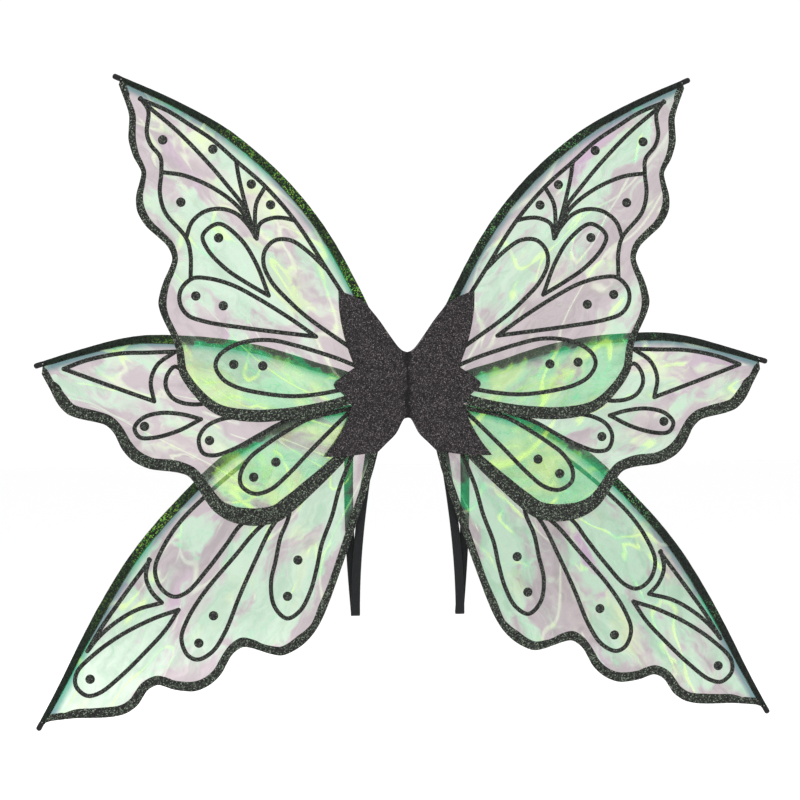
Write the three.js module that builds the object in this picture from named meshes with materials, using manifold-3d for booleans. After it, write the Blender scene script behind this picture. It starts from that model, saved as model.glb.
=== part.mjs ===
// Fairy wings: six wire-framed film wings held in a padded centre cover that folds like a book,
// with two elastic shoulder loops behind. Millimetres, +Z up. The decorated side faces -Y and the
// wearer's back is at +Y. The origin is the middle of the back pad's flat face.
// The right-hand side (+X) is modelled, and the left-hand side is its mirror image.
import * as THREE from "three";
import { mergeVertices } from "three/addons/utils/BufferGeometryUtils.js";
import Module from "manifold-3d";

const wasm = await Module();
wasm.setup();

// ---- driving dimensions
const GAP = 0.3; // air between pieces that touch
const COVER = 2; // glitter foam of the front cover and felt of the back cover
const PAD = { width: 36, height: 76, thick: 4, corner: 6 };
const SPINE = { half: 3.6, height: 76, corner: 2 }; // the fold between the two halves of the cover
const WEB = { width: 6.4, height: 72 }; // behind the fold, from the seam tape to the back cover
const WIRE_RADIUS = 1;
const SLEEVE = { width: 10, thick: 3.2, cloth: 0.3 };
const FILM = 0.4;
const FILM_INSET = 1.8; // from the middle of the wire to the film beside it
const EDGING = 0.6; // glitter layer on the film's free edge
const LAYER = 4.4; // from one wing to the next, front to back
const LAYER_ROOM = 0.4; // room before the first binding and after the last
const CAP = { radius: 3.4, mouth: 2.8, crown: 2.5, rim: 1, dome: 2.8, top: 0.9, length: 10, bore: 7 };
const STRAP = { width: 11, thick: 1.2, sewnAt: -60, drop: -283, turn: 3 };
const PATCH = { height: 12, thick: 2.4, below: 1, beside: 1 };
const TURNED_EDGE = { thick: 1.6, steps: 6, joint: 0.5 };

// ---- places worked out from them, from the wearer's back (y = 0) forwards
const BACK_COVER_Y = -PAD.thick - GAP;
const FIRST_LAYER_Y = BACK_COVER_Y - COVER - LAYER_ROOM - SLEEVE.thick / 2;
const FRONT_COVER_Y = FIRST_LAYER_Y - 2 * LAYER - SLEEVE.thick / 2 - LAYER_ROOM;
const COVER_INNER = SPINE.half + 2 * GAP; // where each half of the cover starts

// Each wing: the wire's line from its root to its end, as [out, up], and the film's free edge from
// the tip back to the root, as [out, up, width of the glitter edging there].
const WINGS = {
  upper: {
    layer: 2,
    wire: [[37, 58], [50, 90], [67, 125], [92.5, 172], [118.5, 210], [148, 245], [177, 273],
      [216, 304.5], [244, 322], [291, 346.5], [353, 374]],
    edge: [[346, 363, 1.5], [342, 352, 6], [334, 326, 8], [335, 298, 9], [328.5, 275, 7.5],
      [320, 258, 6], [326, 232, 8], [325.5, 212, 10], [314, 192, 9.5], [290.5, 170, 8.5],
      [284, 153, 7], [294, 128, 8], [301, 100, 10], [295, 80, 8], [286, 61, 8], [280, 42, 9],
      [277, 17, 10], [260, -10, 11], [235, -33, 13], [200, -43, 15], [158, -43, 15],
      [112, -35, 13], [72, -24, 12], [40, -8, 10], [30, 12, 8]],
  },
  middle: {
    layer: 1,
    wire: [[40, -3], [72, 11], [115, 24], [145, 34], [176, 43], [230, 53], [285, 57], [315, 57.5],
      [345, 54], [386, 44], [424, 33], [450, 25]],
    edge: [[441, 16, 2], [431, -3, 12], [423, -19, 14], [410, -33, 14], [389, -40, 14],
      [366, -46, 13], [355, -57, 12.5], [347, -74, 14], [333, -90, 14.5], [311.5, -100, 14],
      [288.5, -103, 14.5], [267, -109, 13], [253, -128, 14], [238.5, -149.5, 16], [220, -163, 19],
      [200, -169, 21], [180, -170, 21.5], [157, -165, 21], [139, -152, 20], [118, -133, 18],
      [90, -106, 15], [60, -72, 10], [38, -32, 6]],
  },
  lower: {
    layer: 0,
    wire: [[50, -28], [100, -33], [148, -47], [190, -68], [228, -93], [258, -121], [285, -149],
      [307.5, -173.5], [338.5, -213.5], [366.5, -258.5], [394, -308], [423, -364.5], [450, -413.5]],
    edge: [[434, -402.5, 4], [404, -400, 11], [370, -400, 12.5], [345.5, -396, 12], [329.5, -385, 12],
      [318.5, -368.5, 11.5], [305.5, -362, 11.5], [289.5, -367, 11], [262, -370.5, 12],
      [241.5, -362, 11], [228, -348.5, 10.5], [216.5, -328, 10], [202, -318, 12], [181, -323, 9],
      [155.5, -329, 11], [128, -315, 12.5], [111.5, -295.5, 9], [100, -272, 10.5], [89, -243, 9],
      [69, -187, 9.5], [60, -160, 9.5], [47.5, -122, 9], [35.5, -79, 8.5], [35, -55, 7]],
  },
};

const MATERIALS = {
  cover: new THREE.MeshStandardMaterial({ color: 0x3b3638, roughness: 0.75, metalness: 0.15 }),
  felt: new THREE.MeshStandardMaterial({ color: 0x1d1b1c, roughness: 0.95, metalness: 0 }),
  wire: new THREE.MeshStandardMaterial({ color: 0x8d8f92, roughness: 0.35, metalness: 1 }),
  sleeve: new THREE.MeshStandardMaterial({ color: 0x14201a, roughness: 0.55, metalness: 0.1 }),
  film: new THREE.MeshStandardMaterial({
    color: 0xd6ecd8, roughness: 0.15, metalness: 0, transparent: true, opacity: 0.4,
  }),
  edging: new THREE.MeshStandardMaterial({ color: 0x232423, roughness: 0.6, metalness: 0.3 }),
  cap: new THREE.MeshStandardMaterial({ color: 0x111111, roughness: 0.5, metalness: 0 }),
  strap: new THREE.MeshStandardMaterial({ color: 0x121415, roughness: 0.85, metalness: 0 }),
};

// ---- shapes that the pieces share
// A smooth line through [out, up] points, in the plane of the wings.
function smoothLine(points) {
  const places = points.map(([out, up]) => new THREE.Vector3(out, 0, up));
  return new THREE.CatmullRomCurve3(places, false, "centripetal");
}

// A line of straight steps through given stations, which a sweep follows station by station, so
// that the wire, its binding and the film beside them bend at the same places.
class Stations extends THREE.Curve {
  constructor(points) {
    super();
    this.points = points;
  }

  getPoint(share, target = new THREE.Vector3()) {
    const last = this.points.length - 1;
    const at = share * last;
    const before = Math.min(Math.floor(at), last - 1);
    return target.lerpVectors(this.points[before], this.points[before + 1], at - before);
  }

  getPointAt(share, target) {
    return this.getPoint(share, target);
  }

  getTangentAt(share, target) {
    return this.getTangent(share, target);
  }
}

// A flat plate with this outline, from the height y of its back face forwards (-Y).
function plate(shape, y, thick, curveSegments = 4) {
  const options = { depth: thick, bevelEnabled: false, curveSegments };
  return new THREE.ExtrudeGeometry(shape, options).rotateX(Math.PI / 2).translate(0, y, 0);
}

// A section pushed along a line in the wing's plane: the section's x is towards the viewer (-Y),
// and its y is towards the film.
function sweep(section, line, y, curveSegments = 4) {
  const steps = line.points.length - 1;
  const options = { steps, bevelEnabled: false, extrudePath: line, curveSegments };
  return new THREE.ExtrudeGeometry(section, options).translate(0, y, 0);
}

function mesh(name, geometry, material) {
  const made = new THREE.Mesh(geometry, material);
  made.name = name;
  return made;
}

function solid(geometry) {
  const bare = geometry.clone().deleteAttribute("normal").deleteAttribute("uv");
  const merged = mergeVertices(bare, 1e-4);
  return new wasm.Manifold(new wasm.Mesh({
    numProp: 3,
    vertProperties: merged.attributes.position.array,
    triVerts: new Uint32Array(merged.index.array),
  }));
}

function geometryOf(manifold) {
  const { vertProperties, triVerts } = manifold.getMesh();
  const geometry = new THREE.BufferGeometry();
  geometry.setAttribute("position", new THREE.BufferAttribute(new Float32Array(vertProperties), 3));
  geometry.setIndex(new THREE.BufferAttribute(new Uint32Array(triVerts), 1));
  return geometry;
}

// ---- one wing
const LEAD_STEPS = 22;
const ROOT_TAIL = 8; // bare wire in the pocket, before the binding starts
const EDGE_STEPS_PER_POINT = 2;

// The cloth binding round the wire, cut across: closed round the wire and open towards the film,
// whose edge is held between its two lips.
function sleeveSection() {
  const half = SLEEVE.thick / 2;
  const bore = half - SLEEVE.cloth;
  const slot = FILM / 2 + GAP;
  const side = SLEEVE.width / 2;
  const corners = [
    [half, -side * 0.7], [half, side * 0.5], [slot + SLEEVE.cloth, side], [slot, side],
    [slot, bore], [bore, bore * 0.4], [bore, -bore], [-bore, -bore], [-bore, bore * 0.4],
    [-slot, bore], [-slot, side], [-slot - SLEEVE.cloth, side], [-half, side * 0.5],
    [-half, -side * 0.7], [-half * 0.5, -side], [half * 0.5, -side],
  ];
  return new THREE.Shape(corners.map(([x, y]) => new THREE.Vector2(x, y)));
}

function circle(radius) {
  return new THREE.Shape().absarc(0, 0, radius, 0, 2 * Math.PI);
}

// The free edge as a list of { outer, inner } points, for the film and its glitter edging.
function freeEdge(points) {
  const line = smoothLine(points);
  const last = points.length - 1;
  const count = last * EDGE_STEPS_PER_POINT;
  const rows = [];
  for (let i = 0; i <= count; i++) {
    const at = (i / count) * last;
    const before = Math.min(Math.floor(at), last - 1);
    const width = THREE.MathUtils.lerp(points[before][2], points[before + 1][2], at - before);
    const place = line.getPoint(i / count);
    const along = line.getTangent(i / count);
    const outer = new THREE.Vector2(place.x, place.z);
    const inner = new THREE.Vector2(place.x + along.z * width, place.z - along.x * width);
    rows.push({ outer, inner });
  }
  return rows;
}

// The film: from the root along the wire, just clear of it inside the binding, and back along
// its free edge.
function filmShape(sleeveLine, rows) {
  const lead = [];
  for (let i = 0; i <= LEAD_STEPS; i++) {
    const place = sleeveLine.getPointAt(i / LEAD_STEPS);
    const along = sleeveLine.getTangentAt(i / LEAD_STEPS);
    const x = place.x + along.z * FILM_INSET;
    lead.push(new THREE.Vector2(x, place.z - along.x * FILM_INSET));
  }
  return new THREE.Shape([...lead, ...rows.map((row) => row.outer)]);
}

function edgingShape(rows) {
  const outer = rows.map((row) => row.outer);
  const inner = rows.map((row) => row.inner).reverse();
  return new THREE.Shape([...outer, ...inner]);
}

// The rubber cap on the wire's end: a rounded plug with a blind bore, turned to the wire.
function capGeometry(wireEnd, along, y) {
  const { radius, mouth, crown, rim, dome, top, length, bore } = CAP;
  const hole = WIRE_RADIUS + GAP;
  const profile = [
    [hole, 0], [mouth, 0], [radius, rim], [radius, length - dome], [crown, length - top],
    [0, length], [0, bore + GAP], [hole, bore + GAP], [hole, 0],
  ];
  const points = profile.map(([r, h]) => new THREE.Vector2(r, h));
  const turn = new THREE.Quaternion();
  turn.setFromUnitVectors(new THREE.Vector3(0, 1, 0), along);
  const start = wireEnd.clone().addScaledVector(along, -bore);
  return new THREE.LatheGeometry(points, 8).applyQuaternion(turn).translate(start.x, y, start.z);
}

// The wire and the binding on it share their stations. The wire starts a little nearer the root,
// and its bare end runs straight on into the cap.
function leadingEdge(points) {
  const line = smoothLine(points);
  const length = line.getLength();
  const from = ROOT_TAIL / length;
  const to = 1 - (CAP.length + GAP) / length;
  const stations = [];
  for (let i = 0; i <= LEAD_STEPS; i++) {
    stations.push(line.getPointAt(THREE.MathUtils.lerp(from, to, i / LEAD_STEPS)));
  }
  const along = line.getTangentAt(to);
  const end = stations[LEAD_STEPS].clone().addScaledVector(along, GAP + CAP.bore);
  return {
    sleeve: new Stations(stations),
    wire: new Stations([line.getPoint(0), ...stations, end]),
    end,
    along,
  };
}

function wing(side, name, { layer, wire, edge }) {
  const y = FIRST_LAYER_Y - layer * LAYER;
  const lead = leadingEdge(wire);
  const rows = freeEdge(edge);
  const label = `${side}_${name}`;
  return [
    mesh(`${label}_wire`, sweep(circle(WIRE_RADIUS), lead.wire, y, 3), MATERIALS.wire),
    mesh(`${label}_sleeve`, sweep(sleeveSection(), lead.sleeve, y), MATERIALS.sleeve),
    mesh(`${label}_film`, plate(filmShape(lead.sleeve, rows), y + FILM / 2, FILM), MATERIALS.film),
    mesh(
      `${label}_edging`,
      plate(edgingShape(rows), y - FILM / 2 - GAP, EDGING),
      MATERIALS.edging,
    ),
    mesh(`${label}_tip_cap`, capGeometry(lead.end, lead.along, y), MATERIALS.cap),
  ];
}

// ---- the centre cover
// One half of the cover, with an upper horn, a middle point and a lower lobe.
function coverShape() {
  const at = (out, up) => new THREE.Vector2(out, up);
  return new THREE.Shape()
    .moveTo(COVER_INNER, 40.5)
    .splineThru([at(11, 46), at(22, 61), at(33, 77), at(44, 91), at(55, 103), at(83, 115)])
    .quadraticCurveTo(84, 70, 63.5, 21.5)
    .lineTo(89, 3)
    .quadraticCurveTo(92, -2, 84, -7)
    .quadraticCurveTo(74, -14, 68, -25.5)
    .quadraticCurveTo(80, -60, 103.5, -87)
    .quadraticCurveTo(70, -88, 36, -81)
    .splineThru([at(27, -72), at(15, -60), at(7.5, -46), at(COVER_INNER, -41)]);
}

// The edge that the front cover turns back beside each notch, to close the pocket there.
function turnedEdge(points) {
  const { thick, steps, joint } = TURNED_EDGE;
  const line = smoothLine(points);
  const outer = [];
  const inner = [];
  for (let i = 0; i <= steps; i++) {
    const place = line.getPoint(i / steps);
    const along = line.getTangent(i / steps);
    outer.push(new THREE.Vector2(place.x, place.z));
    inner.push(new THREE.Vector2(place.x + along.z * thick, place.z - along.x * thick));
  }
  const back = BACK_COVER_Y - COVER - GAP;
  const depth = back - FRONT_COVER_Y + joint;
  return plate(new THREE.Shape([...outer, ...inner.reverse()]), back, depth);
}

function frontCover() {
  const front = solid(plate(coverShape(), FRONT_COVER_Y, COVER));
  const top = solid(turnedEdge([[5.2, 41], [11, 46], [16, 52.5], [21, 59.5]]));
  const bottom = solid(turnedEdge([[21, -66], [15, -60], [7.5, -46], [5.2, -42.5]]));
  return geometryOf(front.add(top).add(bottom));
}

// ---- the shoulder loops
// A flat band whose width lies along X, through stations of [out, y, up].
function band(stations, width, thick) {
  const positions = [];
  const faces = [];
  const count = stations.length;
  stations.forEach(([out, y, up], i) => {
    const before = stations[Math.max(i - 1, 0)];
    const after = stations[Math.min(i + 1, count - 1)];
    const run = new THREE.Vector2(after[1] - before[1], after[2] - before[2]).normalize();
    for (const [across, through] of [[-1, -1], [1, -1], [1, 1], [-1, 1]]) {
      positions.push(out + (across * width) / 2);
      positions.push(y + (run.y * through * thick) / 2);
      positions.push(up - (run.x * through * thick) / 2);
    }
  });
  const quad = (a, b, c, d) => faces.push(a, b, c, a, c, d);
  for (let i = 0; i < count - 1; i++) {
    for (let k = 0; k < 4; k++) {
      const next = (k + 1) % 4;
      quad(4 * i + k, 4 * i + next, 4 * i + 4 + next, 4 * i + 4 + k);
    }
  }
  quad(3, 2, 1, 0);
  const end = 4 * (count - 1);
  quad(end, end + 1, end + 2, end + 3);
  const geometry = new THREE.BufferGeometry();
  geometry.setAttribute("position", new THREE.Float32BufferAttribute(positions, 3));
  geometry.setIndex(faces);
  return geometry;
}

// The loop hangs from two sewn ends at one height: the inner leg runs down in front, turns up at
// the bottom, and the outer leg runs up behind it.
const SEWN_INNER = 42;
const SEWN_OUTER = 71;
const LOOP_BOTTOM = 64.5;
const OUTER_LEG_BOW = 3.5;
const LEG_LEAN = 1.5; // how far the inner leg leans back on its way down
const STRAP_Y = BACK_COVER_Y + 2 * GAP + STRAP.thick / 2;
const LEG_STEPS = 9;
const TURN_STEPS = 6;

function strapStations() {
  const { sewnAt, drop, turn } = STRAP;
  const bottom = drop + turn;
  const stations = [];
  for (let i = 0; i < LEG_STEPS; i++) {
    const share = i / LEG_STEPS;
    const out = THREE.MathUtils.lerp(SEWN_INNER, LOOP_BOTTOM, Math.sin((share * Math.PI) / 2));
    stations.push([out, STRAP_Y + LEG_LEAN * share, THREE.MathUtils.lerp(sewnAt, bottom, share)]);
  }
  const frontY = STRAP_Y + LEG_LEAN;
  for (let i = 0; i <= TURN_STEPS; i++) {
    const angle = (i / TURN_STEPS) * Math.PI;
    stations.push([
      LOOP_BOTTOM,
      frontY + turn * (1 - Math.cos(angle)),
      bottom - turn * Math.sin(angle),
    ]);
  }
  for (let i = LEG_STEPS - 1; i >= 0; i--) {
    const share = i / LEG_STEPS;
    const bow = OUTER_LEG_BOW * Math.sin(share * Math.PI);
    const out = THREE.MathUtils.lerp(SEWN_OUTER, LOOP_BOTTOM, share) + bow;
    const y = THREE.MathUtils.lerp(STRAP_Y, frontY + 2 * turn, share);
    stations.push([out, y, THREE.MathUtils.lerp(sewnAt, bottom, share)]);
  }
  return stations;
}

// The cloth patch that both ends of a loop are sewn under.
function strapPatch() {
  const low = STRAP.sewnAt + PATCH.below;
  const high = low + PATCH.height;
  const left = SEWN_INNER - STRAP.width / 2 - PATCH.beside;
  const right = SEWN_OUTER + STRAP.width / 2;
  const shape = new THREE.Shape()
    .moveTo(left, low)
    .lineTo(right, low)
    .lineTo(right, high)
    .lineTo(left, high);
  return plate(shape, BACK_COVER_Y + GAP + PATCH.thick, PATCH.thick);
}

// ---- the two halves and the centre
function half(side) {
  const group = new THREE.Group();
  group.add(
    mesh(`${side}_front_cover`, frontCover(), MATERIALS.cover),
    mesh(`${side}_back_cover`, plate(coverShape(), BACK_COVER_Y, COVER), MATERIALS.felt),
    mesh(`${side}_strap_patch`, strapPatch(), MATERIALS.felt),
    mesh(`${side}_strap`, band(strapStations(), STRAP.width, STRAP.thick), MATERIALS.strap),
  );
  for (const [name, plan] of Object.entries(WINGS)) group.add(...wing(side, name, plan));
  return group;
}

function roundedPlate(width, height, corner, y, thick) {
  const w = width / 2;
  const h = height / 2;
  const shape = new THREE.Shape()
    .moveTo(-w + corner, -h)
    .lineTo(w - corner, -h)
    .quadraticCurveTo(w, -h, w, -h + corner)
    .lineTo(w, h - corner)
    .quadraticCurveTo(w, h, w - corner, h)
    .lineTo(-w + corner, h)
    .quadraticCurveTo(-w, h, -w, h - corner)
    .lineTo(-w, -h + corner)
    .quadraticCurveTo(-w, -h, -w + corner, -h);
  return plate(shape, y, thick);
}

function centre() {
  const webDepth = BACK_COVER_Y - FRONT_COVER_Y - GAP;
  const tape = roundedPlate(2 * SPINE.half, SPINE.height, SPINE.corner, FRONT_COVER_Y, COVER);
  const web = new THREE.BoxGeometry(WEB.width, webDepth, WEB.height);
  web.translate(0, BACK_COVER_Y - webDepth / 2, 0);
  const pad = roundedPlate(PAD.width, PAD.height, PAD.corner, 0, PAD.thick);
  return [
    mesh("seam_tape", tape, MATERIALS.felt),
    mesh("spine_web", web, MATERIALS.felt),
    mesh("back_pad", pad, MATERIALS.felt),
  ];
}

const wings = new THREE.Group();
wings.add(...centre());
wings.add(half("right"));
const left = half("left");
left.scale.x = -1;
wings.add(left);

export default wings;
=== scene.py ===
import math

import bpy
import numpy as np
from mathutils import Matrix, Vector, noise
from mathutils.geometry import delaunay_2d_cdt


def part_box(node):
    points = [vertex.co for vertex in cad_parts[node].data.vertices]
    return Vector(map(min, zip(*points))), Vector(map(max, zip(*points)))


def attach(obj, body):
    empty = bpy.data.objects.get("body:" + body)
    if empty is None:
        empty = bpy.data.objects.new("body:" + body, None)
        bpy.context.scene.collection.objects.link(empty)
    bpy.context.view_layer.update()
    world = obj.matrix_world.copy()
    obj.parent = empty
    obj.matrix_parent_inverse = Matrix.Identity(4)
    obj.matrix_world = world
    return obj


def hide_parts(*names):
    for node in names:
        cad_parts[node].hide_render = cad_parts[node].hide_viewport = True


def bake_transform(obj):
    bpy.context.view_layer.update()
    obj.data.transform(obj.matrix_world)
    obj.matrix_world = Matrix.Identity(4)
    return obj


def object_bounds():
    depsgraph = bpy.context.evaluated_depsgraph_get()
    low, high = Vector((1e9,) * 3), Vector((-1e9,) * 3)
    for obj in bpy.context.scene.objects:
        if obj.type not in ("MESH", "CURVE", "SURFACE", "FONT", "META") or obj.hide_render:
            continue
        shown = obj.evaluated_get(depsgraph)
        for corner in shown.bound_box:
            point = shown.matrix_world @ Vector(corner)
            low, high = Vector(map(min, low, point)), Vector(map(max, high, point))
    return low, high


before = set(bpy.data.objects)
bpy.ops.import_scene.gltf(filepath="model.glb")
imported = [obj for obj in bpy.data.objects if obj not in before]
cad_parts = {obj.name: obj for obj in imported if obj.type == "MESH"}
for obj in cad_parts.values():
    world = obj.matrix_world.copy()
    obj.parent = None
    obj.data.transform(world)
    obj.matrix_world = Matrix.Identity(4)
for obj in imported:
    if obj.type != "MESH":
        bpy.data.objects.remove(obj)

MM = 0.001
SIDES = (("right", 1), ("left", -1))
WINGS = ("upper", "middle", "lower")
CAD_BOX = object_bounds()


# ---- camera, light and floor
CAMERA = {"place": (-0.232, -2.389, 0.008), "yaw": 5.363, "pitch": -0.643, "roll": 0.425, "lens": 87.9}
LIGHTS = (  # name, place, size and power
    ("key", (-1.6, -2.4, 1.7), 1.4, 34),
    ("fill", (2.2, -2.2, 0.6), 1.6, 18),
    ("top", (0.4, 0.6, 2.4), 1.6, 14),
    ("back", (-1.3, 2.4, 1.2), 1.2, 28),
)
DAYLIGHT = 1.06  # the brightness of the white studio round the wings
FLOOR_DROP = 0.3  # the wings hang this far above the floor
FLOOR_REACH = 14


def placed(name, data):
    """A new object in the scene."""
    made = bpy.data.objects.new(name, data)
    bpy.context.scene.collection.objects.link(made)
    return made


def add_camera():
    camera = placed("camera", bpy.data.cameras.new("camera"))
    camera.data.lens = CAMERA["lens"]
    camera.data.clip_end = 50
    turn = (
        Matrix.Rotation(-math.radians(CAMERA["yaw"]), 4, "Z")
        @ Matrix.Rotation(math.radians(90 + CAMERA["pitch"]), 4, "X")
        @ Matrix.Rotation(-math.radians(CAMERA["roll"]), 4, "Z")
    )
    camera.matrix_world = Matrix.Translation(CAMERA["place"]) @ turn
    bpy.context.scene.camera = camera


def add_light(name, place, size, power):
    """A square soft light at this place, turned towards the object's middle."""
    light = placed(name, bpy.data.lights.new(name, "AREA"))
    light.data.size = size
    light.data.energy = power
    light.location = place
    light.rotation_euler = (-Vector(place)).to_track_quat("-Z", "Y").to_euler()


def add_world():
    scene = bpy.context.scene
    scene.world = bpy.data.worlds.new("studio")
    scene.world.use_nodes = True
    background = scene.world.node_tree.nodes["Background"]
    background.inputs["Color"].default_value = (1, 1, 1, 1)
    background.inputs["Strength"].default_value = DAYLIGHT
    scene.view_settings.view_transform = "Standard"


def add_floor():
    z = CAD_BOX[0].z - FLOOR_DROP
    corners = [(x * FLOOR_REACH, y * FLOOR_REACH, z) for x, y in ((-1, -1), (1, -1), (1, 1), (-1, 1))]
    mesh = bpy.data.meshes.new("floor")
    mesh.from_pydata(corners, [], [(0, 1, 2, 3)])
    look = Look("floor_paint")
    look.surface(Base_Color=(0.93, 0.93, 0.93), Roughness=0.9)
    mesh.materials.append(look.material)
    placed("floor", mesh)


# ---- materials
class Look:
    """A material whose nodes are added by short calls."""

    def __init__(self, name):
        self.material = bpy.data.materials.new(name)
        self.material.use_nodes = True
        self.tree = self.material.node_tree
        self.tree.nodes.clear()
        self.output = self.tree.nodes.new("ShaderNodeOutputMaterial")

    def set(self, socket, value):
        if isinstance(value, bpy.types.NodeSocket):
            self.tree.links.new(value, socket)
        elif isinstance(value, tuple) and len(value) == 3 and socket.type == "RGBA":
            socket.default_value = (*value, 1)
        else:
            socket.default_value = value

    def add(self, kind, inputs=None, **settings):
        node = self.tree.nodes.new("ShaderNode" + kind)
        for key, value in settings.items():
            setattr(node, key, value)
        for key, value in (inputs or {}).items():
            self.set(node.inputs[key], value)
        return node

    def object_place(self):
        return self.add("TexCoord").outputs["Object"]

    def maths(self, operation, a, b=0.5, c=0.5):
        node = self.add("Math", operation=operation)
        for socket, value in zip(node.inputs, (a, b, c)):
            self.set(socket, value)
        return node.outputs[0]

    def times(self, a, b):
        return self.maths("MULTIPLY", a, b)

    def vector(self, operation, a, b):
        node = self.add("VectorMath", operation=operation)
        self.set(node.inputs[0], a)
        self.set(node.inputs[3] if operation == "SCALE" else node.inputs[1], b)
        return node.outputs[0]

    def mix(self, share, a, b):
        node = self.add("Mix", data_type="RGBA")
        self.set(node.inputs["Factor"], share)
        self.set(node.inputs[6], a)
        self.set(node.inputs[7], b)
        return node.outputs[2]

    def steps(self, value, low, high, out_low=0.0, out_high=1.0):
        """value between low and high becomes out_low to out_high, and stays there outside them."""
        keys = ("Value", "From Min", "From Max", "To Min", "To Max")
        inputs = dict(zip(keys, (value, low, high, out_low, out_high)))
        return self.add("MapRange", inputs, interpolation_type="SMOOTHSTEP").outputs[0]

    def total(self, start, *added):
        """start, plus each (value, weight) multiplied out."""
        for value, weight in added:
            start = self.maths("MULTIPLY_ADD", value, weight, start)
        return start

    def noise(self, place, scale, detail=2.0, roughness=0.5, distortion=0.0, out="Fac"):
        keys = ("Vector", "Scale", "Detail", "Roughness", "Distortion")
        inputs = dict(zip(keys, (place, scale, detail, roughness, distortion)))
        return self.add("TexNoise", inputs).outputs[out]

    def cells(self, place, scale, **settings):
        return self.add("TexVoronoi", {"Vector": place, "Scale": scale}, **settings).outputs

    def split(self, colour):
        return self.add("SeparateColor", {"Color": colour}).outputs

    def attribute(self, name):
        return self.add("Attribute", attribute_name=name).outputs["Fac"]

    def bump(self, height, distance, strength=1.0, normal=None):
        inputs = {"Height": height, "Distance": distance, "Strength": strength}
        if normal is not None:
            inputs["Normal"] = normal
        return self.add("Bump", inputs).outputs["Normal"]

    def surface(self, **inputs):
        named = {key.replace("_", " "): value for key, value in inputs.items()}
        shader = self.add("BsdfPrincipled", named).outputs[0]
        self.set(self.output.inputs["Surface"], shader)
        return shader


HALF = (0.5, 0.5, 0.5)


def glitter(name, ground, fleck, tint, cell, share, worn=0.0, crease=0.0, bare=False):
    """Dark ground with flat glitter flakes of two colours, each flake turned its own way.

    worn is how much of the glitter is missing in places, and crease is the strength of a painted shade, a
    dark line along the fold at x = 0. With bare, the mesh's own "bare" attribute says where there is no
    glitter.
    """
    look = Look(name)
    place = look.object_place()
    cells = look.cells(place, 1 / (cell * MM))
    parts = look.split(cells["Color"])
    lit = look.steps(parts[0], 1 - share, 1.0)
    patch = look.noise(place, 13, 3, 0.6)
    lit = look.times(lit, look.steps(patch, 0.42, 0.58, 1 - worn, 1.0))
    if bare:
        without = look.attribute("bare")
        lit = look.times(lit, look.maths("SUBTRACT", 1.0, without))
    clump = look.noise(place, 330, 3, 0.7)
    dim, bright = (tuple(part * c for c in ground) for part in (0.4, 2.4))
    dust = look.mix(look.steps(clump, 0.35, 0.7), dim, bright)
    colour = look.mix(lit, dust, look.mix(parts[1], fleck, tint))
    # painted shade: a wandering near-black line along the fold between the two halves
    if crease:
        side = look.add("SeparateXYZ", {"Vector": place}).outputs[0]
        wander = look.maths("MULTIPLY_ADD", look.noise(place, 70, 3), 0.014, -0.007)
        away = look.maths("ABSOLUTE", look.maths("ADD", side, wander))
        width = look.steps(look.noise(place, 120, 3), 0.35, 0.65, 0.003, 0.011)
        dark = look.steps(look.maths("DIVIDE", away, width), 0.0, 1.0, crease, 0.0)
        colour = look.mix(dark, colour, (0.001, 0.001, 0.001))
    tilt = look.vector("SUBTRACT", cells["Color"], HALF)
    normal = look.add("NewGeometry").outputs["Normal"]
    turned = look.vector("ADD", normal, look.vector("SCALE", tilt, 1.1))
    turned = look.vector("NORMALIZE", turned, (0, 0, 0))
    look.surface(
        Base_Color=colour,
        Metallic=look.times(lit, 0.7),
        Roughness=look.steps(parts[2], 0, 1, 0.3, 0.7),
        Specular_IOR_Level=0.18,
        Normal=look.bump(cells["Distance"], 0.0003, 0.6, turned),
    )
    return look.material


def felt(name, colour, fibre):
    """Short matted fibres lying every way, with a few pale ones on top."""
    look = Look(name)
    place = look.object_place()
    mat = look.noise(place, 420, 4, 0.75, 1.5)
    hair = look.noise(look.vector("MULTIPLY", place, (1, 1, 0.25)), 900, 3, 0.6, 3.0)
    soft = look.noise(place, 60, 3)
    shade = look.times(look.steps(mat, 0.38, 0.66), look.steps(soft, 0.3, 0.7, 0.45, 1.0))
    pale = look.steps(hair, 0.60, 0.70, 0.0, 0.8)
    look.surface(
        Base_Color=look.mix(look.maths("MAXIMUM", shade, pale), colour, fibre),
        Roughness=0.95,
        Specular_IOR_Level=0.15,
        Sheen_Weight=0.12,
        Sheen_Roughness=0.5,
        Normal=look.bump(look.maths("ADD", mat, hair), 0.0008, 1.0),
    )
    return look.material


def elastic(name):
    """Ribbed woven elastic: UV runs across the band from 0 to 1 and along it in metres."""
    look = Look(name)
    uv = look.add("TexCoord").outputs["UV"]
    parts = look.add("SeparateXYZ", {"Vector": uv})
    ribs = look.maths("SINE", look.times(parts.outputs[0], 2 * math.pi * 9))
    picks = look.maths("SINE", look.times(parts.outputs[1], 2 * math.pi * 900))
    weave = look.times(look.maths("ADD", ribs, 1.0), look.maths("ADD", picks, 1.6))
    lint = look.noise(look.object_place(), 900, 3)
    colour = look.mix(look.steps(weave, 0.2, 4.5), (0.004, 0.005, 0.006), (0.034, 0.037, 0.040))
    look.surface(
        Base_Color=look.mix(look.steps(lint, 0.55, 0.75, 0, 0.5), colour, (0.05, 0.05, 0.052)),
        Roughness=0.8,
        Specular_IOR_Level=0.2,
        Sheen_Weight=0.05,
        Normal=look.bump(weave, 0.0003, 1.0),
    )
    return look.material


def steel(name):
    look = Look(name)
    place = look.object_place()
    drawn = look.noise(look.vector("MULTIPLY", place, (1, 8, 1)), 700, 3)
    look.surface(
        Base_Color=look.mix(drawn, (0.42, 0.43, 0.44), (0.66, 0.67, 0.68)),
        Metallic=1.0,
        Roughness=look.steps(drawn, 0.3, 0.7, 0.22, 0.42),
        Normal=look.bump(drawn, 0.00005, 0.5),
    )
    return look.material


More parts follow.
